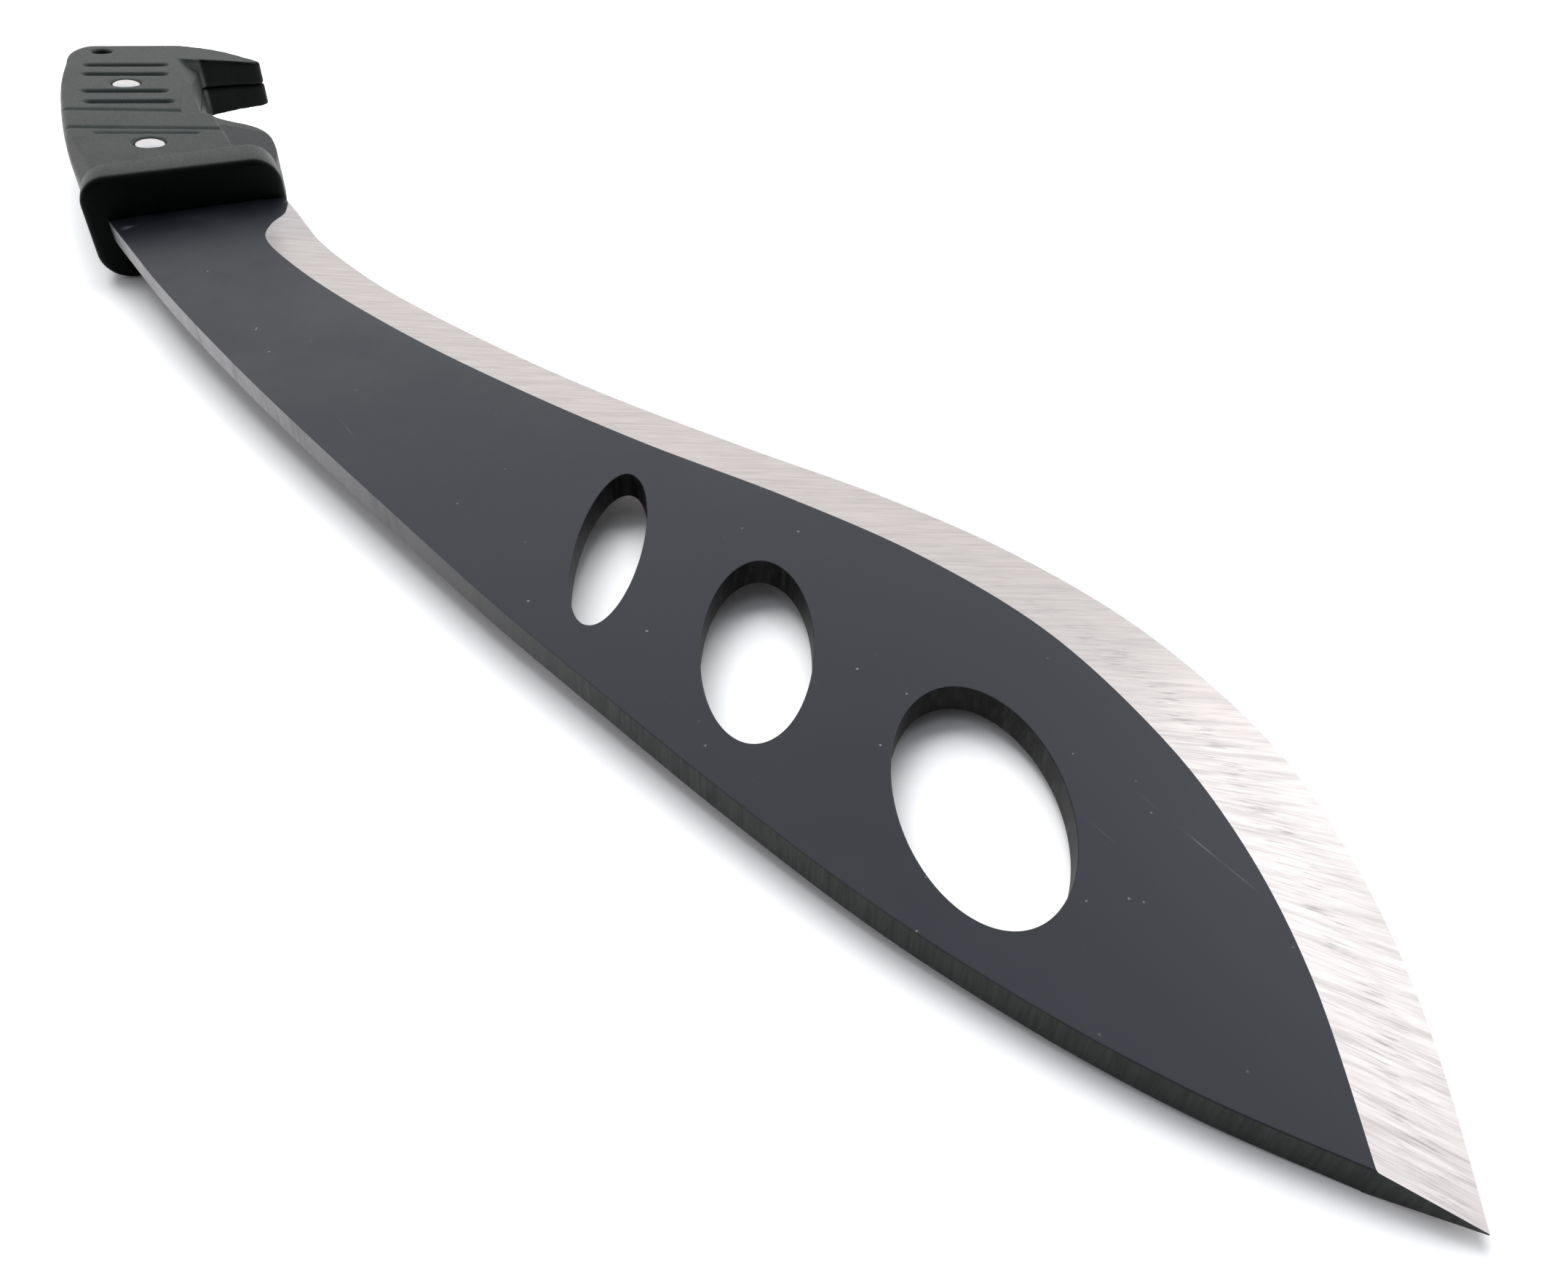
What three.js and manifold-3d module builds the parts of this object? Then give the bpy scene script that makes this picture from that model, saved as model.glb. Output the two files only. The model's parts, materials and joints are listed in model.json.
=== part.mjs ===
// A large fixed-blade machete, lying on its side as it rests on a table.
// It is drawn level in its own plan: +X runs from the guard to the tip, +Y to the cutting edge,
// +Z out of the flat of the blade, with the origin on the middle of the guard's front face.
// The finished knife is then leaned nose-down, because it rests on its guard and its tip.
// Millimetres throughout.

import * as THREE from 'three';
import { mergeVertices } from 'three/addons/utils/BufferGeometryUtils.js';
import Module from 'manifold-3d';

const wasm = await Module();
wasm.setup();

// ---------------------------------------------------------------- driving dimensions

const gap = 0.3;                 // clearance between pieces that touch
const bladeThickness = 5;
const edgeFlat = 0.3;            // the cutting edge is left this thick
const bladeStations = 112;       // steps along the blade
const bevelWidth = 12.5;         // width at which the grind reaches the edge

const tangHalfWidth = 16;        // where the tang passes through the guard
const handleHalfThickness = 10;
const guardHalfThickness = 12.2;
const guardSpineSide = -25.2;
const guardEdgeSide = 21.2;
const guardShift = [0.27, 0.2];  // its sides shift towards the edge as they run back to the handle
const guardDepth = 11;
const guardCorner = 6.5;
const hookNose = 2.5;            // radius of the pommel's tip
const seamSlant = THREE.MathUtils.degToRad(5);   // the guard is deeper towards the edge

// The handle's face is level in front, and slopes away in five places.
const buttFall = { from: -60, slope: 0.03 };
const hookFall = { from: 27.5, height: 8.6, slope: 0.12 };
const fingerRestFall = { depth: 0.8, slope: 0.3 };
const backFacetFall = 0.75;
const notchFacetFall = 0.7;

const rivetHead = 7;
const rivetHeadHeight = 1.8;
const rivetBarrel = 5;
const rivetShank = 3;
const rivetJoint = -3;           // height at which the barrel meets the pin's own collar
const rivetProud = 0.1;          // the heads stand this far out of the handle's face
const roundSides = 32;
const lanyardHole = 5.4;

// The blade's cross-sections, from the root to the tip. Each has one point on the spine,
// one on the grind line and one on the cutting edge.
const bladeSections = [
  { spine: [4, -20.4], grind: [4, 20.2], edge: [4, 20.2] },
  { spine: [11, -20.4], grind: [11, 16.9], edge: [11, 20.1] },
  { spine: [17, -20.4], grind: [16.5, 11.8], edge: [17.5, 20] },
  { spine: [25, -20.4], grind: [24.5, 7.9], edge: [26, 19.9] },
  { spine: [38, -20.3], grind: [38, 7.9], edge: [39.5, 20.7] },
  { spine: [60, -19.5], grind: [60, 10.8], edge: [62, 24] },
  { spine: [90, -17.7], grind: [90, 17.5], edge: [94, 32.3] },
  { spine: [120, -15.2], grind: [120, 26.7], edge: [125, 42.7] },
  { spine: [150, -12.3], grind: [150, 37.8], edge: [157, 56.3] },
  { spine: [180, -9.2], grind: [180, 51.1], edge: [188, 70.5] },
  { spine: [208, -5.3], grind: [208, 61], edge: [216, 79.6] },
  { spine: [236, -1.1], grind: [236, 65.5], edge: [245, 83.2] },
  { spine: [264, 4.2], grind: [264, 62.5], edge: [275, 79.2] },
  { spine: [288, 11], grind: [286, 55.4], edge: [299, 67.9] },
  { spine: [308, 18.7], grind: [306, 44.1], edge: [319, 53] },
  { spine: [326, 27.9], grind: [326, 27.9], edge: [338, 34] },
];

// Three slanted oval holes, growing towards the tip.
const bladeHoles = [
  { centre: [176.4, 15.3], length: 45.6, width: 11.5, slant: 141.6 },
  { centre: [212.8, 21.6], length: 45.5, width: 18.3, slant: 143 },
  { centre: [258.2, 29.6], length: 47.1, width: 26.2, slant: 148.3 },
];

const rivets = [
  { name: 'front', centre: [-27.6, -1.7] },
  { name: 'rear', centre: [-80.4, 6.1] },
];

const lanyardCentre = [-116.8, 8.5];

// Grooves moulded into both faces of the handle: the ends of each, its radius and its depth.
const handleGrooves = [
  { from: [-102.4, 1.8], to: [-96.8, 19.9], radius: 1.7, depth: 1.6 },
  { from: [-92.7, -0.6], to: [-86.8, 17.2], radius: 1.7, depth: 1.6 },
  { from: [-75.4, -4.6], to: [-69.6, 12.6], radius: 1.7, depth: 1.6 },
  { from: [-65, -6.4], to: [-59.1, 11.4], radius: 1.7, depth: 1.6 },
  { from: [-62.5, -19], to: [-46, 22.5], radius: 1.4, depth: 0.6 },
  { from: [-47.5, -21], to: [-31.5, 20], radius: 1.4, depth: 0.6 },
  { from: [-38.9, -11.2], to: [-31.1, 10.7], radius: 1.2, depth: 0.5 },
];

// ---------------------------------------------------------------- solids

// A closed geometry as a solid that can be joined and cut.
function toSolid(geometry) {
  const bare = geometry.clone();
  bare.deleteAttribute('normal');
  bare.deleteAttribute('uv');
  const merged = mergeVertices(bare, 1e-5);
  const index = merged.index.array;
  const triangles = [];
  for (let i = 0; i < index.length; i += 3) {
    const [a, b, c] = index.slice(i, i + 3);
    if (a !== b && b !== c && c !== a) {
      triangles.push(a, b, c);
    }
  }
  return new wasm.Manifold(new wasm.Mesh({
    numProp: 3,
    vertProperties: Float32Array.from(merged.attributes.position.array),
    triVerts: Uint32Array.from(triangles),
  }));
}

function toGeometry(solid) {
  const mesh = solid.getMesh();
  const geometry = new THREE.BufferGeometry();
  geometry.setAttribute('position', new THREE.BufferAttribute(mesh.vertProperties, 3));
  geometry.setIndex(new THREE.BufferAttribute(mesh.triVerts, 1));
  geometry.computeVertexNormals();
  return geometry;
}

function makeMesh(name, solid, colour, roughness, metalness) {
  const material = new THREE.MeshStandardMaterial({ color: colour, roughness, metalness });
  const mesh = new THREE.Mesh(toGeometry(solid), material);
  mesh.name = name;
  return mesh;
}

// A plate of the given outline, centred on the middle plane of the knife.
// A swell grows its outline all round by that much.
function plate(shape, thickness, swell = 0) {
  const geometry = new THREE.ExtrudeGeometry(shape, {
    depth: thickness,
    curveSegments: 10,
    bevelEnabled: swell > 0,
    bevelSize: swell,
    bevelThickness: 0.02,
    bevelSegments: 1,
  });
  geometry.translate(0, 0, -thickness / 2);
  return toSolid(geometry);
}

// An upright cylinder through the middle plane, between two heights.
function post(centre, diameter, low, high) {
  const radius = diameter / 2;
  const geometry = new THREE.CylinderGeometry(radius, radius, high - low, roundSides);
  geometry.rotateX(Math.PI / 2);
  geometry.translate(centre[0], centre[1], (low + high) / 2);
  return toSolid(geometry);
}

function box(low, high) {
  const size = high.map((value, axis) => value - low[axis]);
  const geometry = new THREE.BoxGeometry(...size);
  geometry.translate(...low.map((value, axis) => value + size[axis] / 2));
  return geometry;
}

// ---------------------------------------------------------------- blade

function sectionCurve(line) {
  return new THREE.SplineCurve(bladeSections.map((section) => new THREE.Vector2(...section[line])));
}

// A box with one row of faces for the flat and one for the bevel, bent onto the sections.
function bladeBody() {
  const spine = sectionCurve('spine');
  const grind = sectionCurve('grind');
  const edge = sectionCurve('edge');
  const geometry = new THREE.BoxGeometry(1, 1, 1, bladeStations, 2, 1);
  const position = geometry.attributes.position;
  for (let i = 0; i < position.count; i += 1) {
    const along = position.getX(i) + 0.5;
    const row = Math.round(position.getY(i) * 2) + 1;
    const curve = [spine, grind, edge][row];
    const point = curve.getPoint(along);
    let half = bladeThickness / 2;
    if (row === 2) {
      // The grind plunges in from the root, so the edge thins as the bevel widens.
      const width = point.distanceTo(grind.getPoint(along));
      half = Math.max(edgeFlat / 2, half * (1 - width / bevelWidth));
    }
    position.setXYZ(i, point.x, point.y, Math.sign(position.getZ(i)) * half);
  }
  return toSolid(geometry);
}

// The shouldered tang: it passes through the guard and fills the middle of the handle.
function tangShape() {
  const shape = new THREE.Shape();
  shape.moveTo(gap, -20.4);
  shape.lineTo(4, -20.4);
  shape.lineTo(6, -18);
  shape.lineTo(6, 18);
  shape.lineTo(4, 20.2);
  shape.lineTo(gap, 20.2);
  shape.lineTo(gap, tangHalfWidth);
  shape.lineTo(-30, tangHalfWidth);
  shape.splineThru([
    new THREE.Vector2(-50, 14.6),
    new THREE.Vector2(-66, 15.8),
    new THREE.Vector2(-84, 19),
    new THREE.Vector2(-99, 24),
  ]);
  shape.lineTo(-108, 30.5);
  shape.lineTo(-108, 39);
  shape.lineTo(-113, 36);
  shape.lineTo(-121.5, 5.5);
  shape.splineThru([
    new THREE.Vector2(-105, -1.6),
    new THREE.Vector2(-88, -5.6),
    new THREE.Vector2(-66, -10),
    new THREE.Vector2(-40, -14.3),
  ]);
  shape.lineTo(-26, -tangHalfWidth);
  shape.lineTo(gap, -tangHalfWidth);
  shape.closePath();
  return shape;
}

function bladeHole(hole) {
  const geometry = new THREE.CylinderGeometry(0.5, 0.5, bladeThickness * 2, 56);
  geometry.rotateX(Math.PI / 2);
  geometry.scale(hole.length, hole.width, 1);
  geometry.rotateZ(THREE.MathUtils.degToRad(hole.slant));
  geometry.translate(hole.centre[0], hole.centre[1], 0);
  return toSolid(geometry);
}

function makeBlade() {
  let solid = bladeBody().add(plate(tangShape(), bladeThickness));
  for (const hole of bladeHoles) {
    solid = solid.subtract(bladeHole(hole));
  }
  for (const rivet of rivets) {
    solid = solid.subtract(post(rivet.centre, rivetBarrel + 2 * gap, -10, 10));
  }
  solid = solid.subtract(post(lanyardCentre, lanyardHole + 1, -10, 10));
  return makeMesh('blade', solid, 0x2b2d31, 0.5, 0.6);
}

// ---------------------------------------------------------------- guard

// Everything behind the slanted seam between the guard and the handle scales.
function behindSeam(offset) {
  const geometry = box([-200, -100, -50], [0, 100, 50]);
  geometry.rotateZ(seamSlant);
  geometry.translate(-guardDepth - offset, 0, 0);
  return toSolid(geometry);
}

function guardFace() {
  const spine = guardSpineSide;
  const edge = guardEdgeSide;
  const z = guardHalfThickness;
  const r = guardCorner;
  const shape = new THREE.Shape();
  shape.moveTo(spine + r, -z);
  shape.lineTo(edge - r, -z);
  shape.absarc(edge - r, -z + r, r, -Math.PI / 2, 0);
  shape.absarc(edge - r, z - r, r, 0, Math.PI / 2);
  shape.absarc(spine + r, z - r, r, Math.PI / 2, Math.PI);
  shape.absarc(spine + r, -z + r, r, Math.PI, Math.PI * 1.5);
  return shape;
}

function makeGuard() {
  const round = 1.5;
  const length = guardDepth * 2;
  const geometry = new THREE.ExtrudeGeometry(guardFace(), {
    depth: length,
    curveSegments: 8,
    bevelSize: round,
    bevelThickness: round,
    bevelOffset: -round,
    bevelSegments: 3,
  });
  // The face is drawn in Y and Z, and runs back from the plane X = 0.
  geometry.translate(0, 0, -length - round);
  geometry.applyMatrix4(new THREE.Matrix4().makeBasis(
    new THREE.Vector3(0, 1, 0),
    new THREE.Vector3(0, 0, 1),
    new THREE.Vector3(1, 0, 0),
  ));
  const position = geometry.attributes.position;
  for (let i = 0; i < position.count; i += 1) {
    const share = (position.getY(i) - guardSpineSide) / (guardEdgeSide - guardSpineSide);
    const shift = THREE.MathUtils.lerp(guardShift[0], guardShift[1], share);
    position.setY(i, position.getY(i) - shift * position.getX(i));
  }
  const slotHalfHeight = bladeThickness / 2 + gap;
  const slotHalfWidth = tangHalfWidth + gap;
  const slot = box([-60, -slotHalfWidth, -slotHalfHeight], [10, slotHalfWidth, slotHalfHeight]);
  const solid = toSolid(geometry).subtract(behindSeam(0)).subtract(toSolid(slot));
  return makeMesh('guard', solid, 0x1d2021, 0.75, 0);
}

// ---------------------------------------------------------------- handle scales

// The outline at the middle plane: back, butt, hooked pommel, finger notch and front swell.
function handleShape() {
  const shape = new THREE.Shape();
  shape.moveTo(0, -22.6);
  shape.lineTo(-9, -22.2);
  shape.splineThru([
    new THREE.Vector2(-20, -21.3),
    new THREE.Vector2(-35, -19.6),
    new THREE.Vector2(-52, -16.9),
    new THREE.Vector2(-70, -13.4),
    new THREE.Vector2(-84, -10.3),
    new THREE.Vector2(-96, -7.1),
    new THREE.Vector2(-108, -3.5),
  ]);
  shape.quadraticCurveTo(-122.3, -0.4, -125, 7);
  shape.lineTo(-116.9, 35.8);
  shape.quadraticCurveTo(-114.7, 41.9, -109.3, 45.1);
  shape.absarc(-103.3, 46.6, hookNose, Math.PI * 0.71, -Math.PI * 0.045, true);
  shape.lineTo(-101.7, 40);
  shape.lineTo(-101.6, 31.8);
  shape.quadraticCurveTo(-101.5, 30.2, -99.5, 29.7);
  shape.splineThru([
    new THREE.Vector2(-92, 27.4),
    new THREE.Vector2(-80, 23.6),
    new THREE.Vector2(-69, 20.7),
    new THREE.Vector2(-57, 18.8),
    new THREE.Vector2(-50, 18.4),
  ]);
  shape.quadraticCurveTo(-45.4, 18.5, -44.8, 23);
  shape.lineTo(-44.4, 26.5);
  shape.quadraticCurveTo(-43.9, 30.4, -38, 30.4);
  shape.quadraticCurveTo(-27, 29.3, -14, 24.2);
  shape.lineTo(0, 20.3);
  shape.closePath();
  return shape;
}

// How far the handle's face has fallen by the given distance along the knife.
function fallAt(along) {
  return Math.max(0, buttFall.from - along) * buttFall.slope;
}

// A large block whose underside is a sloping plane: it passes through the line from one point
// to another at the given height, and falls away to the right-hand side of that line.
function planer(from, to, height, slope) {
  const length = 200;
  const geometry = box([-length, -length, 0], [length, 0, 40]);
  geometry.rotateX(slope);
  geometry.rotateZ(Math.atan2(to[1] - from[1], to[0] - from[0]));
  geometry.translate(from[0], from[1], height);
  return toSolid(geometry);
}

function groove({ from, to, radius, depth }, height) {
  const start = new THREE.Vector3(from[0], from[1], 0);
  const end = new THREE.Vector3(to[0], to[1], 0);
  const geometry = new THREE.CapsuleGeometry(radius, start.distanceTo(end), 3, 12);
  geometry.applyQuaternion(new THREE.Quaternion().setFromUnitVectors(
    new THREE.Vector3(0, 1, 0),
    end.clone().sub(start).normalize(),
  ));
  const middle = start.add(end).multiplyScalar(0.5);
  geometry.translate(middle.x, middle.y, height + radius - depth);
  return toSolid(geometry);
}

function flipped(solid) {
  return solid.rotate([180, 0, 0]).mirror([0, 1, 0]);
}

// The upper half of the handle, from the seam at the middle plane to its outer face.
function upperScale() {
  const round = 2.2;
  const roundHeight = 4.4;
  const geometry = new THREE.ExtrudeGeometry(handleShape(), {
    depth: (handleHalfThickness - roundHeight) * 2,
    curveSegments: 8,
    bevelSize: round,
    bevelThickness: roundHeight,
    bevelOffset: -round,
    bevelSegments: 4,
  });
  geometry.translate(0, 0, -(handleHalfThickness - roundHeight));
  let solid = toSolid(geometry);
  solid = solid.intersect(behindSeam(gap));
  solid = solid.intersect(toSolid(box([-200, -100, gap / 2], [50, 100, 50])));

  // The face falls gently to the butt, more steeply to the hook, and to the index finger's rest;
  // narrow facets run along the back of the grip and round the finger notch.
  const buttLine = [[buttFall.from, 40], [buttFall.from, -40]];
  solid = solid.subtract(planer(...buttLine, handleHalfThickness, buttFall.slope));
  const hookLine = [[-95, hookFall.from], [-125, hookFall.from]];
  solid = solid.subtract(planer(...hookLine, hookFall.height, hookFall.slope));
  const restHeight = handleHalfThickness - fingerRestFall.depth;
  const fingerRest = planer([-12, 14.6], [-52, 19.4], restHeight, fingerRestFall.slope);
  const swellRoom = toSolid(box([-58, 0, 0], [0, 60, 50]));
  solid = solid.subtract(fingerRest.intersect(swellRoom));
  const backFacet = [[-45, -16.6], [-12, -18.4]];
  solid = solid.subtract(planer(...backFacet, handleHalfThickness, backFacetFall));
  const notchRoom = toSolid(box([-101.6, 8, 0], [-47, 31, 50]));
  const notchFacets = [[[-47, 15.6], [-76, 20.2]], [[-76, 20.2], [-101.6, 28.4]]];
  for (const line of notchFacets) {
    const height = handleHalfThickness - fallAt(line[1][0]) / 2;
    solid = solid.subtract(planer(...line, height, notchFacetFall).intersect(notchRoom));
  }

  for (const line of handleGrooves) {
    const fall = fallAt((line.from[0] + line.to[0]) / 2);
    solid = solid.subtract(groove(line, handleHalfThickness - fall));
  }
  solid = solid.subtract(plate(tangShape(), bladeThickness + 2 * gap, gap));
  for (const rivet of rivets) {
    solid = solid.subtract(post(rivet.centre, rivetBarrel + 2 * gap, -20, 20));
    const seat = rivetTop(rivet) - rivetHeadHeight - gap;
    solid = solid.subtract(post(rivet.centre, rivetHead + 2 * gap, seat, 20));
  }
  solid = solid.subtract(post(lanyardCentre, lanyardHole, -20, 20));
  return solid;
}

function makeScales() {
  const upper = upperScale();
  return [
    makeMesh('upper_handle_scale', upper, 0x3c4240, 0.7, 0),
    makeMesh('lower_handle_scale', flipped(upper), 0x3c4240, 0.7, 0),
  ];
}

// ---------------------------------------------------------------- rivets

function rivetTop(rivet) {
  return handleHalfThickness - fallAt(rivet.centre[0]) + rivetProud;
}

// A barrel with a domed head, bored for the shank of its partner.
function rivetSocket(rivet) {
  const top = rivetTop(rivet);
  const profile = [
    [rivetShank / 2 + gap / 2, rivetJoint],
    [rivetBarrel / 2, rivetJoint],
    [rivetBarrel / 2, top - rivetHeadHeight],
    [rivetHead / 2, top - rivetHeadHeight],
    [rivetHead / 2, top - 0.5],
    [rivetHead / 2 - 0.8, top - 0.1],
    [0, top],
    [0, top - rivetHeadHeight - 1],
    [rivetShank / 2 + gap / 2, top - rivetHeadHeight - 1],
  ];
  return turned(profile, rivet.centre);
}

// The partner: a domed head below, with a solid shank that reaches up into the barrel.
function rivetPin(rivet) {
  const low = -rivetTop(rivet);
  const profile = [
    [0, low],
    [rivetHead / 2 - 0.8, low + 0.1],
    [rivetHead / 2, low + 0.5],
    [rivetHead / 2, low + rivetHeadHeight],
    [rivetBarrel / 2, low + rivetHeadHeight],
    [rivetBarrel / 2, rivetJoint - gap],
    [rivetShank / 2, rivetJoint - gap],
    [rivetShank / 2, rivetTop(rivet) - rivetHeadHeight - 1 - gap],
    [0, rivetTop(rivet) - rivetHeadHeight - 1 - gap],
  ];
  return turned(profile, rivet.centre);
}

// A profile of radius and height turned about an upright axis.
function turned(profile, centre) {
  const points = profile.map(([radius, height]) => new THREE.Vector2(radius, height));
  if (profile[0][0] > 0) {
    points.push(points[0].clone());
  }
  const geometry = new THREE.LatheGeometry(points, roundSides);
  geometry.rotateX(Math.PI / 2);
  geometry.translate(centre[0], centre[1], 0);
  return toSolid(geometry);
}

function makeRivets() {
  return rivets.flatMap((rivet) => [
    makeMesh(`${rivet.name}_rivet_socket`, rivetSocket(rivet), 0xcfcac6, 0.35, 1),
    makeMesh(`${rivet.name}_rivet_pin`, rivetPin(rivet), 0xcfcac6, 0.35, 1),
  ]);
}

// ---------------------------------------------------------------- assembly

const knife = new THREE.Group();
knife.add(makeBlade(), makeGuard(), ...makeScales(), ...makeRivets());

// The guard's lower edge and the end of the blade's flat, at the tip, are what touch the table.
const tipContact = bladeSections[bladeSections.length - 1].spine[0];
knife.rotation.y = Math.atan2(guardHalfThickness - bladeThickness / 2, tipContact + 1.5);

const machete = new THREE.Group();
machete.add(knife);
machete.updateMatrixWorld(true);

// The origin is under the middle of the knife, on the table.
const bounds = new THREE.Box3().setFromObject(machete, true);
const middle = bounds.getCenter(new THREE.Vector3());
knife.position.set(-middle.x, -middle.y, -bounds.min.z);

export default machete;
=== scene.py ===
import json
import math

import bmesh
import bpy
from mathutils import Matrix, Vector


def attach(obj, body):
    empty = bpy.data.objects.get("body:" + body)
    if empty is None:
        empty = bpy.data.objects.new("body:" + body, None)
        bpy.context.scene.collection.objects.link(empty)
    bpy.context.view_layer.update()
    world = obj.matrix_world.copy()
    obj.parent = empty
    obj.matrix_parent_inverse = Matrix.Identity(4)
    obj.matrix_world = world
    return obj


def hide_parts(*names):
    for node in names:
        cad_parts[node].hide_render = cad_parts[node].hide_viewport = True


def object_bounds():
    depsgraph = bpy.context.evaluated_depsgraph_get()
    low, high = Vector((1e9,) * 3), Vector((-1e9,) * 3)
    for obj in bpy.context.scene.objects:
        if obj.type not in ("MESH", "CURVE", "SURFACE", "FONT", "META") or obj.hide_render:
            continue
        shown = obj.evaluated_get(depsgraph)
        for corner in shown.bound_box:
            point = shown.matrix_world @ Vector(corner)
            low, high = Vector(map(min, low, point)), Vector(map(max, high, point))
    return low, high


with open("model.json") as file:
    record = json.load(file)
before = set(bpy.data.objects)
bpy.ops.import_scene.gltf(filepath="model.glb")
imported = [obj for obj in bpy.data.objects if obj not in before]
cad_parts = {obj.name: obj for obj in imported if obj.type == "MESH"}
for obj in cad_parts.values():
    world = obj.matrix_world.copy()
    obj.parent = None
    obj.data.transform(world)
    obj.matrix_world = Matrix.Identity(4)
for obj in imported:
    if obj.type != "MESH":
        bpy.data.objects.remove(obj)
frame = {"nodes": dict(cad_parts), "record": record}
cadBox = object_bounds()
print("frame loaded")

mm = 0.001

# The knife lies nose-down, so its own axes are read from its mounts:
# X to the tip, Y to the edge, Z out of the flat.
mounts = {mount["name"]: mount for mount in frame["record"]["mounts"]}
knifeX = Vector(mounts["guard_front"]["axis"]).normalized()
knifeZ = Vector(mounts["upper_blade_flat"]["axis"]).normalized()
knifeY = knifeZ.cross(knifeX)
guardFrontHeight = 7.5 * mm          # that mount's height over the blade's middle plane
knifeTurn = Matrix((knifeX, knifeY, knifeZ)).transposed()
knifeOrigin = Vector(mounts["guard_front"]["pos_m"]) - knifeZ * guardFrontHeight
knifePlace = Matrix.Translation(knifeOrigin) @ knifeTurn.to_4x4()

cadWeld = 0.002 * mm                 # points of a CAD mesh that are nearer than this become one
weld = 0.01 * mm                     # the same for the blade made here


# ---- meshes and objects

def toObject(bm, name, place=knifePlace):
    # a bmesh drawn on the knife's own axes becomes an object at the origin
    bmesh.ops.transform(bm, matrix=place, verts=bm.verts)
    mesh = bpy.data.meshes.new(name)
    bm.to_mesh(mesh)
    bm.free()
    piece = bpy.data.objects.new(name, mesh)
    bpy.context.scene.collection.objects.link(piece)
    return piece


def cadCopy(node):
    # the CAD node's mesh with its loose triangles merged, on the knife's own axes
    bm = bmesh.new()
    bm.from_mesh(frame["nodes"][node].data)
    bmesh.ops.remove_doubles(bm, verts=bm.verts, dist=cadWeld)
    bmesh.ops.transform(bm, matrix=knifePlace.inverted(), verts=bm.verts)
    return bm


def applyModifiers(piece):
    evaluated = piece.evaluated_get(bpy.context.evaluated_depsgraph_get())
    mesh = bpy.data.meshes.new_from_object(evaluated)
    piece.modifiers.clear()
    piece.data = mesh


def boolean(piece, other, operation):
    cut = piece.modifiers.new(operation, "BOOLEAN")
    cut.operation = operation
    cut.solver = "EXACT"
    cut.object = other
    applyModifiers(piece)
    bpy.data.objects.remove(other)


def fillOpenings(bm):
    bmesh.ops.holes_fill(bm, edges=[edge for edge in bm.edges if edge.is_boundary])


def shadeSmooth(piece):
    for polygon in piece.data.polygons:
        polygon.use_smooth = True


def finishPiece(piece, node):
    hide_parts(node)
    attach(piece, "root")


# ---- materials

def feed(tree, socket, value):
    # a socket takes another node's output or a plain value
    if isinstance(value, bpy.types.NodeSocket):
        tree.links.new(value, socket)
    else:
        socket.default_value = value


class Nodes:
    # a few short words for building a material
    def __init__(self, name):
        self.material = bpy.data.materials.new(name)
        self.material.use_nodes = True
        self.tree = self.material.node_tree
        self.shader = self.tree.nodes["Principled BSDF"]

    def add(self, kind, links=None, **settings):
        made = self.tree.nodes.new("ShaderNode" + kind)
        for key, value in settings.items():
            setattr(made, key, value)
        for socket, value in (links or {}).items():
            feed(self.tree, made.inputs[socket], value)
        return made

    def objectPoint(self, scale=(1, 1, 1), turn=(0, 0, 0)):
        point = self.add("TexCoord").outputs["Object"]
        return self.mapped(point, scale, turn)

    def uvPoint(self, layer, scale=(1, 1, 1), turn=(0, 0, 0)):
        point = self.add("UVMap", uv_map=layer).outputs["UV"]
        return self.mapped(point, scale, turn)

    def mapped(self, point, scale, turn):
        links = {"Vector": point, "Scale": scale, "Rotation": turn}
        return self.add("Mapping", links).outputs["Vector"]

    def noise(self, point, scale, detail=3.0, roughness=0.5):
        links = {"Vector": point, "Scale": scale, "Detail": detail, "Roughness": roughness}
        return self.add("TexNoise", links).outputs["Fac"]

    def ramp(self, value, low, high, start=0.0, end=1.0):
        links = {"Value": value, "From Min": low, "From Max": high, "To Min": start, "To Max": end}
        return self.add("MapRange", links, interpolation_type="SMOOTHSTEP").outputs["Result"]

    def maths(self, operation, first, second):
        return self.add("Math", {0: first, 1: second}, operation=operation).outputs["Value"]

    def beyond(self, point, direction):
        # how far the surface lies past a plane that is given on the knife's own axes
        links = {0: self.objectPoint(), 1: knifePlace @ (Vector(point) * mm)}
        offset = self.add("VectorMath", links, operation="SUBTRACT").outputs["Vector"]
        links = {0: offset, 1: knifeTurn @ Vector(direction).normalized()}
        return self.add("VectorMath", links, operation="DOT_PRODUCT").outputs["Value"]

    def mix(self, share, first, second):
        links = {0: share, 6: first, 7: second}
        return self.add("Mix", links, data_type="RGBA").outputs[2]

    def mixNumbers(self, share, first, second):
        return self.add("Mix", {0: share, 2: first, 3: second}).outputs[0]

    def spots(self, scale):
        links = {"Vector": self.objectPoint(), "Scale": scale}
        return self.add("TexVoronoi", links).outputs["Distance"]

    def specks(self, colour, made):
        # small round spots, only where a broad noise lets them show
        rare = self.noise(self.objectPoint(), made["rarity"], 1.0)
        shape = self.ramp(self.spots(made["scale"]), *made["size"])
        shown = self.maths("MULTIPLY", shape, self.ramp(rare, *made["places"]))
        return self.mix(self.maths("MULTIPLY", shown, made["share"]), colour, made["colour"])

    def bump(self, height, distance, strength, normal=None):
        links = {"Height": height, "Distance": distance, "Strength": strength}
        if normal:
            links["Normal"] = normal
        return self.add("Bump", links).outputs["Normal"]

    def set(self, **links):
        for socket, value in links.items():
            feed(self.tree, self.shader.inputs[socket.replace("_", " ")], value)
        return self.material


def grey(value, warm=0.0):
    return (value * (1 + warm), value, value * (1 - warm), 1)


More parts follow.
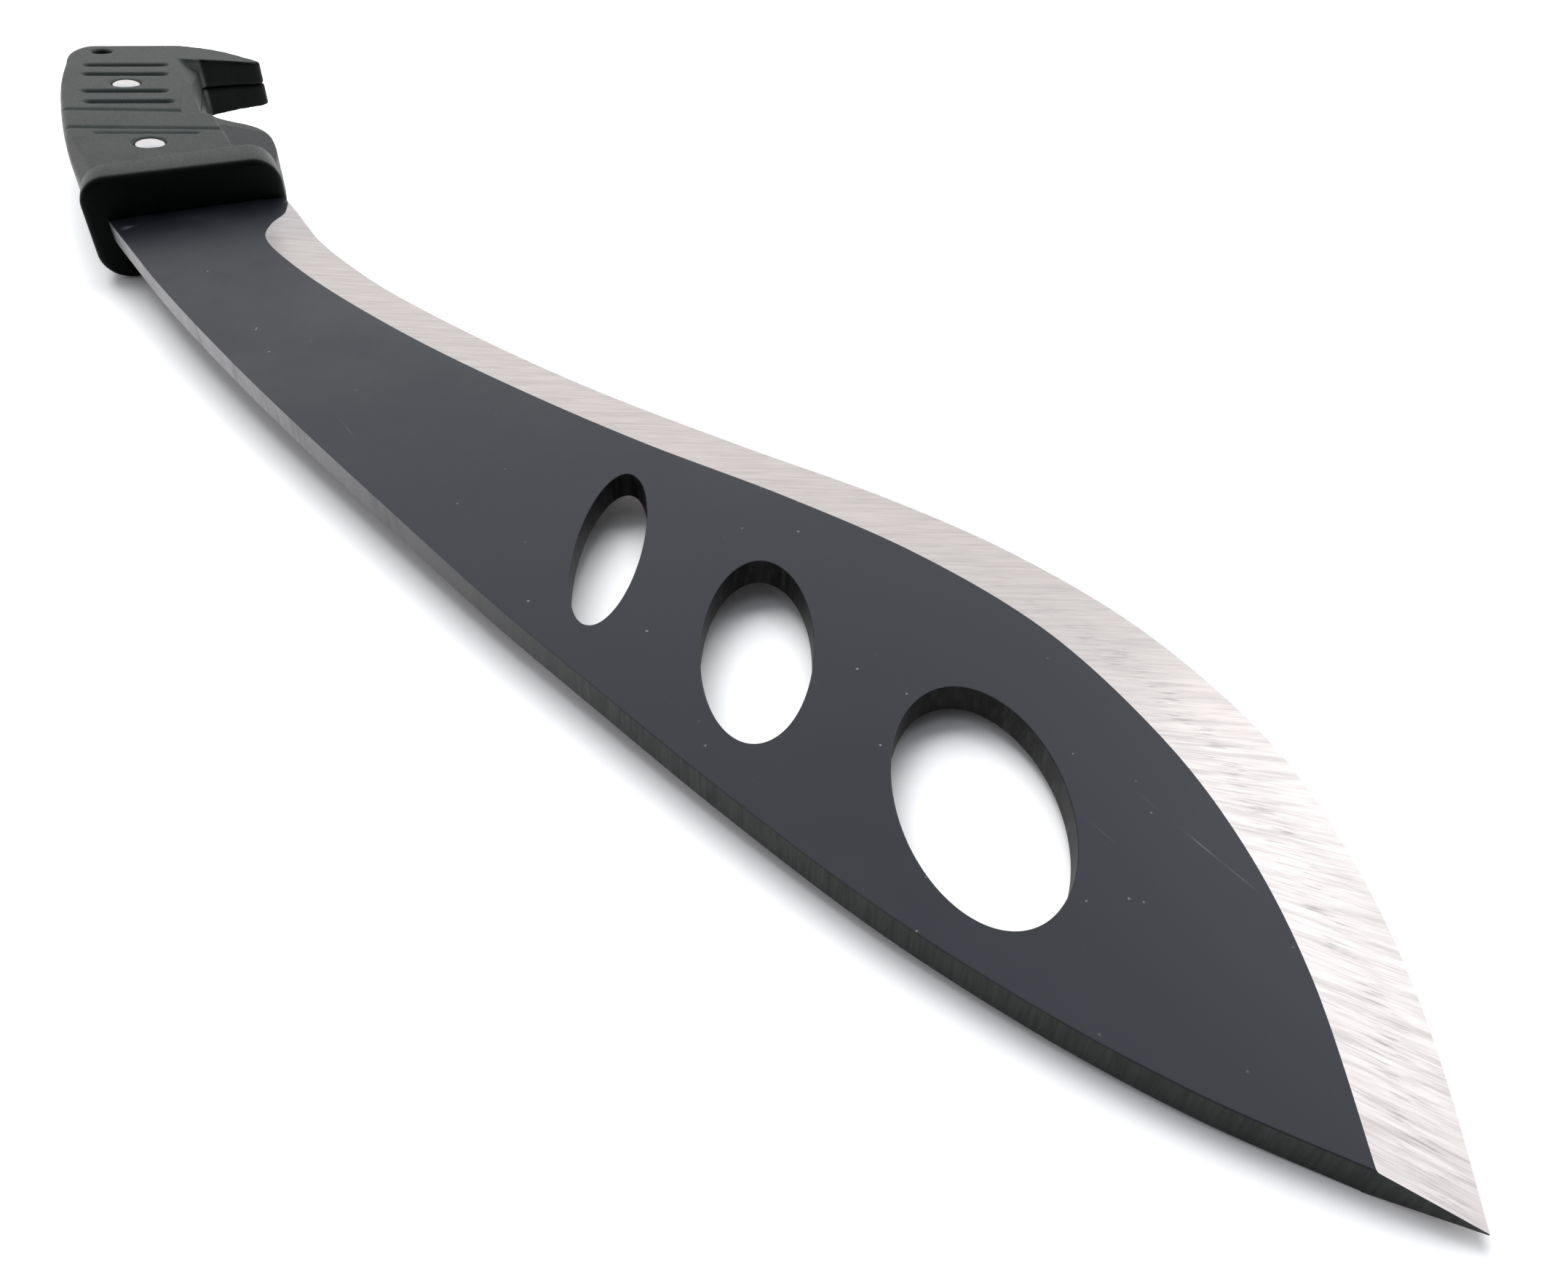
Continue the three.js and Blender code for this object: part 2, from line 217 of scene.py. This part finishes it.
# A noise is given by its scale, detail and roughness. A range is given by the values where it starts
# and ends, and then, unless it goes from 0 to 1, by what it gives there.
coating = {
    "dark": (0.002, 0.0025, 0.005, 1),
    "light": (0.006, 0.0065, 0.01, 1),
    "tint": (0.88, 0.92, 1.0, 1),
    "index": 1.66,
    "blotches": (34.0, 5.0, 0.6),
    "lightRange": (0.35, 0.7),
    "roughness": (0.3, 0.7, 0.38, 0.5),
    # stretch, turn and range of the hair scratches in each direction
    "hairs": (((14, 900, 1), (0, 0, 0.5), (0.74, 0.8)), ((20, 1100, 1), (0, 0, 2.1), (0.76, 0.82))),
    "hairPatches": (70.0, 2.0),
    "hairRange": (0.5, 0.68),
    "hairShare": 0.5,
    "hairColour": grey(0.12),
    "hairDepth": 0.02 * mm,
    "grain": (2600.0, 2.0),
    "grainDepth": 0.02 * mm,
    "chips": {
        "scale": 420.0, "size": (0.12, 0.07), "rarity": 260.0, "places": (0.6, 0.66),
        "share": 0.7, "colour": grey(0.2),
    },
}


def coatedSteel():
    nodes = Nodes("coatedSteel")
    blotches = nodes.noise(nodes.objectPoint(), *coating["blotches"])
    colour = nodes.mix(nodes.ramp(blotches, *coating["lightRange"]), coating["dark"], coating["light"])
    # hair scratches in two directions, only where a broad noise lets them show
    hairs = []
    for stretch, turn, shown in coating["hairs"]:
        strands = nodes.noise(nodes.objectPoint(stretch, turn), 1.0, 1.0)
        hairs.append(nodes.ramp(strands, *shown))
    broad = nodes.noise(nodes.objectPoint(), *coating["hairPatches"])
    patches = nodes.ramp(broad, *coating["hairRange"])
    hair = nodes.maths("MULTIPLY", nodes.maths("MAXIMUM", *hairs), patches)
    colour = nodes.mix(nodes.maths("MULTIPLY", hair, coating["hairShare"]), colour, coating["hairColour"])
    # tiny chips in the coating
    colour = nodes.specks(colour, coating["chips"])
    fine = nodes.noise(nodes.objectPoint(), *coating["grain"])
    normal = nodes.bump(fine, coating["grainDepth"], 0.35)
    normal = nodes.bump(hair, coating["hairDepth"], 0.4, normal)
    rough = nodes.ramp(blotches, *coating["roughness"])
    nodes.set(Specular_Tint=coating["tint"], IOR=coating["index"])
    return nodes.set(Base_Color=colour, Roughness=rough, Normal=normal)


cutCoating = {
    "dark": grey(0.003),
    "light": grey(0.02),
    "lightRange": (0.45, 0.75),
    "clouds": (800.0, 3.0),
    "depth": 0.03 * mm,
    "roughness": 0.6,
    "sheen": 0.25,
}


def holeWalls():
    # the same coating, thin and dull where it was cut
    nodes = Nodes("holeWalls")
    cloudy = nodes.noise(nodes.objectPoint((1, 1, 0.3)), *cutCoating["clouds"])
    share = nodes.ramp(cloudy, *cutCoating["lightRange"])
    colour = nodes.mix(share, cutCoating["dark"], cutCoating["light"])
    normal = nodes.bump(cloudy, cutCoating["depth"], 0.4)
    nodes.set(Roughness=cutCoating["roughness"], Specular_IOR_Level=cutCoating["sheen"])
    return nodes.set(Base_Color=colour, Normal=normal)


ground = {
    "base": (0.74, 0.7, 0.69, 1),
    "dull": (0.6, 0.565, 0.56, 1),
    "streak": (0.1, 0.105, 0.11, 1),
    # stretch of each noise along the bevel and across it
    "fine": (5200, 130, 1),
    "coarse": (900, 50, 1),
    "cloudy": (60, 160, 1),
    "strokes": (2600, 150, 1),
    "turn": (0, 0, 0.06),
    "strokeTurn": (0, 0, 0.1),
    "marks": (1.0, 3.0, 0.6),
    "baseRange": (0.36, 0.6),
    "dullRange": (0.45, 0.8, 0.0, 0.2),
    "strokeRange": (0.52, 0.72),
    "strokesAlong": (0.2, 0.24),             # where the strokes start, along the blade
    "strokesRise": (3 * mm, 6 * mm),         # and across the bevel
    "strokesFade": (13 * mm, 9 * mm),
    "strokeShare": 0.5,
    "fineDepth": 0.012 * mm,
    "coarseDepth": 0.03 * mm,
    "roughness": (0.35, 0.65, 0.42, 0.32),
    "lowerShift": 0.5,                       # metres by which U is greater on the lower side
}


def groundSteel():
    # the bevel: U runs along the blade and V from the grind line to the edge, both in metres
    nodes = Nodes("groundSteel")
    place = nodes.add("SeparateXYZ", {"Vector": nodes.uvPoint("grind")})
    fine = nodes.noise(nodes.uvPoint("grind", ground["fine"], ground["turn"]), *ground["marks"])
    coarse = nodes.noise(nodes.uvPoint("grind", ground["coarse"], ground["turn"]), *ground["marks"])
    cloudy = nodes.noise(nodes.uvPoint("grind", ground["cloudy"]), 1.0, 3.0)
    lines = nodes.maths("MULTIPLY", nodes.maths("ADD", fine, coarse), 0.5)
    colour = nodes.mix(nodes.ramp(lines, *ground["baseRange"]), ground["dull"], ground["base"])
    colour = nodes.mix(nodes.ramp(cloudy, *ground["dullRange"]), colour, ground["dull"])
    # a band of short dark strokes across the middle of the bevel, towards the tip
    strokes = nodes.noise(nodes.uvPoint("grind", ground["strokes"], ground["strokeTurn"]), *ground["marks"])
    strokes = nodes.ramp(strokes, *ground["strokeRange"])
    distance = nodes.maths("MODULO", place.outputs["X"], ground["lowerShift"])
    far = nodes.ramp(distance, *ground["strokesAlong"])
    rise = nodes.ramp(place.outputs["Y"], *ground["strokesRise"])
    fade = nodes.ramp(place.outputs["Y"], *ground["strokesFade"])
    band = nodes.maths("MULTIPLY", nodes.maths("MULTIPLY", rise, fade), far)
    strokes = nodes.maths("MULTIPLY", strokes, band)
    colour = nodes.mix(nodes.maths("MULTIPLY", strokes, ground["strokeShare"]), colour, ground["streak"])
    normal = nodes.bump(fine, ground["fineDepth"], 0.35)
    normal = nodes.bump(coarse, ground["coarseDepth"], 0.2, normal)
    rough = nodes.ramp(lines, *ground["roughness"])
    return nodes.set(Base_Color=colour, Roughness=rough, Normal=normal, Metallic=1.0)


sheared = {
    "bright": (0.34, 0.335, 0.345, 1),
    "dark": (0.012, 0.014, 0.013, 1),
    "tipShadeAlong": (-0.06, 0.12),               # along X, in metres, where the painted shade of the tip end sets in
    "marks": (1500, 1500, 90),
    "broad": (220, 220, 60),
    "markRange": (0.35, 0.68, 0.45, 0.0),
    "broadRange": (0.5, 0.75, 0.0, 0.5),
    "markColour": grey(0.02),
    "markDepth": 0.04 * mm,
    "pitScale": 900.0,
    "pitRange": (0.3, 0.1),
    "pitDepth": -0.03 * mm,
    "roughness": (0.3, 0.7, 0.42, 0.6),
    "metal": (0.9, 0.0),                     # bare by the guard, and not metal where shade is painted towards the tip
    "sheen": (0.5, 0.2),
}


def shearedSteel():
    # the spine: crosswise shear marks and small pits, bare by the guard and darker towards the tip as painted
    # shade, where the real spine reflects the shadowed floor
    nodes = Nodes("shearedSteel")
    place = nodes.add("SeparateXYZ", {"Vector": nodes.objectPoint()}).outputs["X"]
    marks = nodes.noise(nodes.objectPoint(sheared["marks"]), 1.0, 3.0, 0.65)
    broad = nodes.noise(nodes.objectPoint(sheared["broad"]), 1.0, 3.0, 0.6)
    # painted shade: the spine's colour darkens along X towards the tip
    paintedTipShade = nodes.ramp(place, *sheared["tipShadeAlong"])
    colour = nodes.mix(paintedTipShade, sheared["bright"], sheared["dark"])
    colour = nodes.mix(nodes.ramp(marks, *sheared["markRange"]), colour, sheared["markColour"])
    colour = nodes.mix(nodes.ramp(broad, *sheared["broadRange"]), colour, sheared["markColour"])
    pits = nodes.ramp(nodes.spots(sheared["pitScale"]), *sheared["pitRange"])
    normal = nodes.bump(marks, sheared["markDepth"], 0.5)
    normal = nodes.bump(pits, sheared["pitDepth"], 0.5, normal)
    rough = nodes.ramp(marks, *sheared["roughness"])
    metal = nodes.ramp(paintedTipShade, 0.0, 1.0, *sheared["metal"])
    sheen = nodes.ramp(paintedTipShade, 0.0, 1.0, *sheared["sheen"])
    nodes.set(Metallic=metal, Specular_IOR_Level=sheen)
    return nodes.set(Base_Color=colour, Roughness=rough, Normal=normal)


plastic = {
    "index": 1.6,
    "tint": (0.95, 1.0, 0.98, 1),
    "clouds": (90.0, 4.0, 0.6),
    "lightRange": (0.3, 0.7),
    "sheen": 0.5,
    "grain": (2100.0, 3.0, 0.6),
    "grainDepth": 0.05 * mm,
    "roughness": (0.3, 0.7, 0.46, 0.58),
    "dust": {
        "scale": 700.0, "size": (0.14, 0.08), "rarity": 300.0, "places": (0.6, 0.68),
        "share": 0.5, "colour": grey(0.1),
    },
}


def mouldedPlastic(name, dark, light, shadePatches):
    nodes = Nodes(name)
    nodes.set(IOR=plastic["index"], Specular_Tint=plastic["tint"])
    cloudy = nodes.noise(nodes.objectPoint(), *plastic["clouds"])
    colour = nodes.mix(nodes.ramp(cloudy, *plastic["lightRange"]), dark, light)
    colour = nodes.specks(colour, plastic["dust"])
    sheen = plastic["sheen"]
    for patch in shadePatches:
        # a patch of painted shade past two planes: a darker colour and less shine where the real moulding
        # lies in shade
        shares = [nodes.ramp(nodes.beyond(*plane), 0, patch["fade"]) for plane in patch["planes"]]
        share = nodes.maths("MULTIPLY", *shares)
        colour = nodes.mix(share, colour, patch["colour"])
        sheen = nodes.mixNumbers(share, sheen, patch["sheen"])
    grain = nodes.noise(nodes.objectPoint(), *plastic["grain"])
    normal = nodes.bump(grain, plastic["grainDepth"], 0.5)
    rough = nodes.ramp(grain, *plastic["roughness"])
    return nodes.set(Base_Color=colour, Roughness=rough, Specular_IOR_Level=sheen, Normal=normal)


# ---- blade

blade = {
    "thickness": 5 * mm,
    "edge": 0.3 * mm,                # the cutting edge's own thickness
    "bevelWidth": 12.5 * mm,         # where the grind reaches the edge
    "stations": 340,
    "sides": 128,                    # of each oval hole
    "round": 0.22 * mm,              # the broken corners of the spine and the holes
    "tangFront": 4.6 * mm,           # the CAD's tang is used up to here, inside the guard
    "cutter": 20 * mm,               # the depth of what cuts the holes
    "flatLift": 0.995,               # how far a face of the flats and of the bevel leans up or down, at least
    "bevelLift": 0.8,
    "wallReach": 1.1,                # a wall lies within its oval enlarged by the root of this
    # points on the spine, the grind line and the edge, in millimetres from the guard
    "sections": [
        ((4, -20.4), (4, 20.2), (4, 20.2)),
        ((11, -20.4), (11, 16.9), (11, 20.1)),
        ((17, -20.4), (16.5, 11.8), (17.5, 20)),
        ((25, -20.4), (24.5, 7.9), (26, 19.9)),
        ((38, -20.3), (38, 7.9), (39.5, 20.7)),
        ((60, -19.5), (60, 10.8), (62, 24)),
        ((90, -17.7), (90, 17.5), (94, 32.3)),
        ((120, -15.2), (120, 26.7), (125, 42.7)),
        ((150, -12.3), (150, 37.8), (157, 56.3)),
        ((180, -9.2), (180, 51.1), (188, 70.5)),
        ((208, -5.3), (208, 61), (216, 79.6)),
        ((236, -1.1), (236, 65.5), (245, 83.2)),
        ((264, 4.2), (264, 62.5), (275, 79.2)),
        ((288, 11), (286, 55.4), (299, 67.9)),
        ((308, 18.7), (306, 44.1), (319, 53)),
        ((326, 27.9), (326, 27.9), (338, 34)),
    ],
    # centre, length, width and slant of each oval hole
    "holes": [
        ((176.4, 15.3), 45.6, 11.5, 141.6),
        ((212.8, 21.6), 45.5, 18.3, 143),
        ((258.2, 29.6), 47.1, 26.2, 148.3),
    ],
}

# Once round a section: the row, which is 0 at the spine, 1 at the grind line and 2 at the edge, and the side.
bladeRing = [(0, -1), (0, 0), (0, 1), (1, 1), (4 / 3, 1), (5 / 3, 1), (2, 1)]
bladeRing += [(2, -1), (5 / 3, -1), (4 / 3, -1), (1, -1), (0, -1)]

# The blade's material slots, in the order in which they are added.
flatSlot, bevelSlot, spineSlot, wallSlot = range(4)


def along(line, share):
    # a smooth curve through the sections' points on one line
    points = [Vector(section[line]) * mm for section in blade["sections"]]
    place = share * (len(points) - 1)
    first = min(int(place), len(points) - 2)
    t = place - first
    before, after = points[max(first - 1, 0)], points[min(first + 2, len(points) - 1)]
    start, end = points[first], points[first + 1]
    leave, arrive = (end - before) / 2, (after - start) / 2
    return (
        start * (2 * t ** 3 - 3 * t ** 2 + 1)
        + leave * (t ** 3 - 2 * t ** 2 + t)
        + end * (3 * t ** 2 - 2 * t ** 3)
        + arrive * (t ** 3 - t ** 2)
    )


def bladePoint(share, row, side):
    spine, grind, edge = (along(line, share) for line in range(3))
    half = blade["thickness"] / 2
    flat = spine.lerp(grind, min(row, 1))
    if row <= 1:
        return Vector((flat.x, flat.y, side * half))
    width = (edge - grind).length
    thin = max(blade["edge"] / 2, half * (1 - width / blade["bevelWidth"]))
    point = grind.lerp(edge, row - 1)
    return Vector((point.x, point.y, side * (half + (thin - half) * (row - 1))))


def bladeBody():
    bm = bmesh.new()
    grind = bm.loops.layers.uv.new("grind")
    count = len(bladeRing) - 1
    bmesh.ops.create_grid(bm, x_segments=blade["stations"], y_segments=count, size=0.5)
    places = {}
    for vert in bm.verts:
        share = vert.co.x + 0.5
        row, side = bladeRing[round((vert.co.y + 0.5) * count)]
        places[vert] = (share, row, side)
    for face in bm.faces:
        for loop in face.loops:
            share, row, side = places[loop.vert]
            across = (along(2, share) - along(1, share)).length * max(row - 1, 0)
            loop[grind].uv = (along(1, share).x + ground["lowerShift"] * (side < 0), across)
    for vert, (share, row, side) in places.items():
        vert.co = bladePoint(share, row, side)
    bmesh.ops.remove_doubles(bm, verts=bm.verts, dist=weld)
    fillOpenings(bm)
    bmesh.ops.recalc_face_normals(bm, faces=bm.faces)
    # each flat becomes one face, so that the holes cut it cleanly
    for side in (1, -1):
        flats = [face for face in bm.faces if face.normal.z * side > 0.99999]
        bmesh.ops.dissolve_faces(bm, faces=flats)
    return bm


def bladeTang():
    # the tang is hidden in the handle, so it is the CAD's own
    bm = cadCopy("blade")
    geometry = bm.verts[:] + bm.edges[:] + bm.faces[:]
    cut = Vector((blade["tangFront"], 0, 0))
    bmesh.ops.bisect_plane(bm, geom=geometry, plane_co=cut, plane_no=(1, 0, 0), clear_outer=True)
    fillOpenings(bm)
    return toObject(bm, "tang")


def holeCutter():
    bm = bmesh.new()
    for centre, length, width, slant in blade["holes"]:
        made = bmesh.ops.create_cone(
            bm, cap_ends=True, segments=blade["sides"], radius1=0.5, radius2=0.5, depth=blade["cutter"]
        )
        place = Matrix.Translation(Vector((*centre, 0)) * mm)
        turn = Matrix.Rotation(math.radians(slant), 4, "Z")
        size = Matrix.Diagonal((length * mm, width * mm, 1, 1))
        bmesh.ops.transform(bm, matrix=place @ turn @ size, verts=made["verts"])
    return toObject(bm, "holeCutter")


def inHole(point):
    for centre, length, width, slant in blade["holes"]:
        offset = Matrix.Rotation(-math.radians(slant), 2) @ (point.xy / mm - Vector(centre))
        if (2 * offset.x / length) ** 2 + (2 * offset.y / width) ** 2 < blade["wallReach"]:
            return True
    return False


def makeBlade():
    piece = toObject(bladeBody(), "fine_blade")
    boolean(piece, bladeTang(), "UNION")
    boolean(piece, holeCutter(), "DIFFERENCE")
    for material in (coatedSteel(), groundSteel(), shearedSteel(), holeWalls()):
        piece.data.materials.append(material)
    bm = bmesh.new()
    bm.from_mesh(piece.data)
    bmesh.ops.remove_doubles(bm, verts=bm.verts, dist=weld)
    weights = bm.edges.layers.float.new("bevel_weight_edge")
    for face in bm.faces:
        lift = abs(face.normal.dot(knifeZ))
        sloping = bevelSlot if lift > blade["bevelLift"] else spineSlot
        face.material_index = flatSlot if lift > blade["flatLift"] else sloping
        face.smooth = True
    for edge in bm.edges:
        if len(edge.link_faces) < 2:
            continue
        kinds = {face.material_index for face in edge.link_faces}
        edge.smooth = len(kinds) == 1
        if kinds == {flatSlot, spineSlot}:
            edge[weights] = 1.0
    # the coating runs on through the holes
    for face in bm.faces:
        if face.material_index == spineSlot and inHole(knifePlace.inverted() @ face.calc_center_median()):
            face.material_index = wallSlot
    bm.to_mesh(piece.data)
    bm.free()
    rounding = piece.modifiers.new("round", "BEVEL")
    rounding.limit_method = "WEIGHT"
    rounding.width = blade["round"]
    rounding.segments = 2
    rounding.profile = 0.5
    rounding.material = -1
    rounding.harden_normals = True
    rounding.use_clamp_overlap = False
    finishPiece(piece, "blade")


# ---- guard and handle

moulding = {
    "voxel": 0.42 * mm,
    "smoothing": (0.5, 4),                   # share of each step and number of steps
    # dark and light colour of each plastic
    "grip": ((0.005, 0.008, 0.0065, 1), (0.01, 0.014, 0.012, 1)),
    # the guard's colours are darker than the grip's as painted shade; both are the same plastic
    "guard": ((0.002, 0.003, 0.0026, 1), (0.004, 0.0055, 0.005, 1)),
}

# Patches of painted shade on the moulding, each with a darker colour and less shine where the real moulding
# lies in shade. Each lies past two planes, given by a point in millimetres and a direction.
# painted shade on the finger rest
fingerRest = {
    "planes": (((-17.4, 15.0, 0), (0.134, 0.99, 0)), ((-39.5, 20.0, 0), (1, 0, 0))),
    "fade": 0.7 * mm,
    "colour": (0.01, 0.012, 0.014, 1),
    "sheen": 0.2,
}

# painted shade on the inner face of the hook
hookInside = {
    "planes": (((-103.0, 30.0, 0), (1, 0, 0)), ((-101.0, 31.0, 0), (0, 1, 0))),
    "fade": 1.0 * mm,
    "colour": (0.003, 0.004, 0.0035, 1),
    "sheen": 0.08,
}

# painted shade on the guard's front face; the same plane twice, so that the fade starts gently
guardFront = {
    "planes": (((-2.0, 0, 0), (1, 0, 0)),) * 2,
    "fade": 1.4 * mm,
    "colour": (0.002, 0.003, 0.0026, 1),
    "sheen": 0.05,
}


def moulded(node, material):
    # the CAD's shape with every corner softened, as it comes out of a mould
    piece = toObject(cadCopy(node), "fine_" + node)
    remesh = piece.modifiers.new("even", "REMESH")
    remesh.mode = "VOXEL"
    remesh.voxel_size = moulding["voxel"]
    smooth = piece.modifiers.new("soften", "SMOOTH")
    smooth.factor, smooth.iterations = moulding["smoothing"]
    applyModifiers(piece)
    shadeSmooth(piece)
    piece.data.materials.append(material)
    finishPiece(piece, node)


guard = {
    "depth": 11 * mm,
    "slant": math.radians(5),            # the seam behind it is deeper towards the edge
    "spineSide": (-25.2 * mm, 0.27),     # where each side starts, and its slant back towards the edge
    "edgeSide": (21.2 * mm, 0.2),
    "halfThickness": 12.2 * mm,
    "corner": (6.5 * mm, 16),            # radius and segments of the corners seen from the front
    "frontRound": (1.7 * mm, 6),
    "backRound": (0.9 * mm, 4),
    "slot": (30 * mm, 32.6 * mm, 5.6 * mm),
    "crease": math.radians(35),          # edges that bend more than this stay sharp
}


def guardBody():
    bm = bmesh.new()
    bmesh.ops.create_cube(bm, size=1)
    for vert in bm.verts:
        back = vert.co.x < 0
        start, shift = guard["edgeSide"] if vert.co.y > 0 else guard["spineSide"]
        depth = guard["depth"] + start * math.tan(guard["slant"])
        y = start + back * shift * depth
        x = -back * (guard["depth"] + y * math.tan(guard["slant"]))
        vert.co = Vector((x, y, 2 * vert.co.z * guard["halfThickness"]))
    lengthways = []
    for edge in bm.edges:
        first, second = edge.verts
        if abs(first.co.x - second.co.x) > guard["depth"] / 2:
            lengthways.append(edge)
    roundEdges(bm, lengthways, guard["corner"])
    roundEdges(bm, rim(bm, 1), guard["frontRound"])
    roundEdges(bm, rim(bm, -1), guard["backRound"])
    return bm


def rim(bm, side):
    # the edges round the front or the back face
    facing = max(bm.faces, key=lambda face: face.normal.x * side * face.calc_area())
    return list(facing.edges)


def roundEdges(bm, edges, roundness):
    offset, segments = roundness
    bmesh.ops.bevel(
        bm, geom=edges, offset=offset, segments=segments, profile=0.5, affect="EDGES", material=-1
    )
    bm.normal_update()


def makeGuard(material):
    piece = toObject(guardBody(), "fine_guard")
    bm = bmesh.new()
    bmesh.ops.create_cube(bm, size=1, matrix=Matrix.Diagonal((*guard["slot"], 1)))
    boolean(piece, toObject(bm, "guardSlot"), "DIFFERENCE")
    bm = bmesh.new()
    bm.from_mesh(piece.data)
    for face in bm.faces:
        face.smooth = True
    for edge in bm.edges:
        edge.smooth = edge.calc_face_angle(0) < guard["crease"]
    bm.to_mesh(piece.data)
    bm.free()
    piece.data.materials.append(material)
    finishPiece(piece, "guard")


# ---- rivets

rivet = {
    "dark": grey(0.86, 0.02),
    "light": grey(0.95, 0.01),
    "lightRange": (0.3, 0.7),
    "clouds": (420.0, 2.0),
    "grain": (5200.0, 2.0),
    "grainDepth": 0.006 * mm,
    "roughness": 0.42,
    "round": 0.15 * mm,
}


def rivetSteel():
    nodes = Nodes("rivetSteel")
    cloudy = nodes.noise(nodes.objectPoint(), *rivet["clouds"])
    colour = nodes.mix(nodes.ramp(cloudy, *rivet["lightRange"]), rivet["dark"], rivet["light"])
    fine = nodes.noise(nodes.objectPoint(), *rivet["grain"])
    normal = nodes.bump(fine, rivet["grainDepth"], 0.3)
    return nodes.set(Base_Color=colour, Roughness=rivet["roughness"], Normal=normal, Metallic=1.0)


def rivetPiece(node, material):
    piece = toObject(cadCopy(node), "fine_" + node)
    shadeSmooth(piece)
    rounding = piece.modifiers.new("round", "BEVEL")
    rounding.width = rivet["round"]
    rounding.segments = 3
    rounding.harden_normals = True
    piece.data.materials.append(material)
    finishPiece(piece, node)


# ---- camera, floor and light

view = {
    "place": (327.5 * mm, -64.1 * mm, 124.2 * mm),   # on the knife's own axes
    "heading": 45.13,                                # degrees, as are the next two
    "down": 41.8,
    "roll": 8.2,
    "sensor": 36,                                    # millimetres, as is the lens
    "lens": 26.32,
    "shift": (-0.0594, 0.0334),
    "nearest": 0.01,
}


def makeCamera():
    data = bpy.data.cameras.new("camera")
    data.sensor_width = view["sensor"]
    data.lens = view["lens"]
    data.shift_x, data.shift_y = view["shift"]
    data.clip_start = view["nearest"]
    camera = bpy.data.objects.new("camera", data)
    turn = (
        Matrix.Rotation(math.radians(view["heading"]), 4, "Z")
        @ Matrix.Rotation(math.radians(90 - view["down"]), 4, "X")
        @ Matrix.Rotation(math.radians(view["roll"]), 4, "Z")
    )
    camera.matrix_world = knifePlace @ Matrix.Translation(view["place"]) @ turn
    bpy.context.scene.collection.objects.link(camera)
    bpy.context.scene.camera = camera


paper = {"size": 6.0, "gap": 0.05 * mm, "colour": grey(0.93), "roughness": 0.9}


def makeFloor():
    bm = bmesh.new()
    bmesh.ops.create_grid(bm, x_segments=1, y_segments=1, size=paper["size"])
    floor = toObject(bm, "floor", Matrix.Translation((0, 0, cadBox[0].z - paper["gap"])))
    nodes = Nodes("palePaper")
    floor.data.materials.append(nodes.set(Base_Color=paper["colour"], Roughness=paper["roughness"]))


lights = {
    # place and aim in metres, size in metres, radiance, and whether reflections show it
    "window": ((0.26, 1.12, 0.74), (0.1, 0.0, 0.0), (1.1, 0.6), 1.0, True),
    "overhead": ((-0.75, 0.25, 1.15), (0, 0, 0), (1.3, 1.3), 5.5, False),
}

studio = {
    "horizon": (1.02, 0.985, 0.965, 1),
    # which way it changes, from where to where, and the colour that it changes to
    "changes": (
        ("Z", 0.2, 1.0, (0.72, 0.76, 0.83, 1)),      # overhead
        ("X", 0.05, 0.45, (0.14, 0.14, 0.15, 1)),    # behind the camera
    ),
}


def makeLights():
    for name, (place, aim, size, radiance, shows) in lights.items():
        data = bpy.data.lights.new(name, "AREA")
        data.shape = "RECTANGLE"
        data.size, data.size_y = size
        data.energy = radiance * math.pi * size[0] * size[1]
        lamp = bpy.data.objects.new(name, data)
        lamp.location = place
        lamp.rotation_euler = (Vector(aim) - Vector(place)).to_track_quat("-Z", "Y").to_euler()
        lamp.visible_glossy = shows
        bpy.context.scene.collection.objects.link(lamp)


def makeWorld():
    # a white room, a little bluer overhead and darker behind the camera
    world = bpy.data.worlds.new("studio")
    world.use_nodes = True
    tree = world.node_tree
    direction = tree.nodes.new("ShaderNodeTexCoord").outputs["Generated"]
    parts = tree.nodes.new("ShaderNodeSeparateXYZ")
    tree.links.new(direction, parts.inputs[0])
    colour = studio["horizon"]
    for axis, low, high, far in studio["changes"]:
        share = tree.nodes.new("ShaderNodeMapRange")
        share.inputs["From Min"].default_value = low
        share.inputs["From Max"].default_value = high
        tree.links.new(parts.outputs[axis], share.inputs["Value"])
        mix = tree.nodes.new("ShaderNodeMix")
        mix.data_type = "RGBA"
        tree.links.new(share.outputs["Result"], mix.inputs[0])
        feed(tree, mix.inputs[6], colour)
        mix.inputs[7].default_value = far
        colour = mix.outputs[2]
    tree.links.new(colour, tree.nodes["Background"].inputs["Color"])
    bpy.context.scene.world = world
    bpy.context.scene.view_settings.view_transform = "Standard"


makeCamera()
makeFloor()
makeLights()
makeWorld()
print("camera, floor and light made")

makeBlade()
print("blade made")

gripPlastic = mouldedPlastic("gripPlastic", *moulding["grip"], (fingerRest, hookInside))
guardPlastic = mouldedPlastic("guardPlastic", *moulding["guard"], (guardFront,))
moulded("upper_handle_scale", gripPlastic)
moulded("lower_handle_scale", gripPlastic)
makeGuard(guardPlastic)
print("handle and guard made")

rivetMaterial = rivetSteel()
for node in ("front_rivet_socket", "front_rivet_pin", "rear_rivet_socket", "rear_rivet_pin"):
    rivetPiece(node, rivetMaterial)
print("rivets made")
